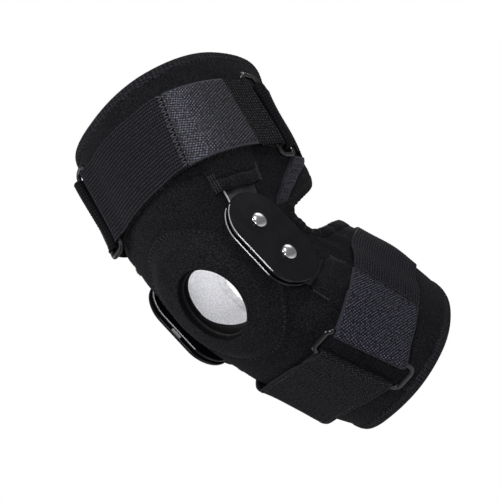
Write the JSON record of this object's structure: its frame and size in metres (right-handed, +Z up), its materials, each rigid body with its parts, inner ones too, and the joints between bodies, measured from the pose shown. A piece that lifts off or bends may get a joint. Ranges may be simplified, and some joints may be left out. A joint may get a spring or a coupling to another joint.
{
  "type": "hinged knee brace",
  "caption": "Black neoprene knee brace bent as on a flexed leg, with riveted side hinges, a padded patella hole, an opening behind the knee and webbing straps turned through loops.",
  "frame": {"origin": "midway between the two hinges, level with the middle of their plates, where the knee holds the brace", "axes": "+Z runs up the hinge plates towards the thigh, -Y is the front of the knee, +X its lateral side"},
  "size_m": [0.1677, 0.1831, 0.3082],
  "materials": {
    "neoprene": "matte knit-faced neoprene",
    "pad_cloth": "matte napped knit",
    "binding_tape": "knitted edge tape",
    "webbing": "ribbed elastic webbing",
    "hook_tab": "twill-faced hook tape",
    "hinge_plate": "satin black moulding",
    "arm": "black coated strip",
    "stop": "plain machined",
    "steel": "polished",
    "loop": "glossy moulded black"
  },
  "bodies": {
    "root": {"sleeve_body": "neoprene", "patella_pad": "pad_cloth", "top_binding": "binding_tape", "bottom_binding": "binding_tape", "popliteal_binding": "binding_tape", "wrap_edge": "binding_tape", "lateral_outer_plate": "hinge_plate", "lateral_inner_plate": "hinge_plate", "lateral_hinge_stop": "stop", "lateral_upper_rivet": "steel", "lateral_lower_rivet": "steel", "lateral_upper_arm": "arm", "lateral_lower_arm": "arm", "lateral_upper_pocket": "neoprene", "lateral_lower_pocket": "neoprene", "medial_outer_plate": "hinge_plate", "medial_inner_plate": "hinge_plate", "medial_hinge_stop": "stop", "medial_upper_rivet": "steel", "medial_lower_rivet": "steel", "medial_upper_arm": "arm", "medial_lower_arm": "arm", "medial_upper_pocket": "neoprene", "medial_lower_pocket": "neoprene", "upper_strap": "webbing", "upper_anchor": "webbing", "lower_strap": "webbing", "lower_anchor": "webbing", "upper_tab": "hook_tab", "lower_tab": "hook_tab", "upper_loop_lateral": "loop", "upper_loop_medial": "loop", "lower_loop": "loop"}
  },
  "joints": []
}
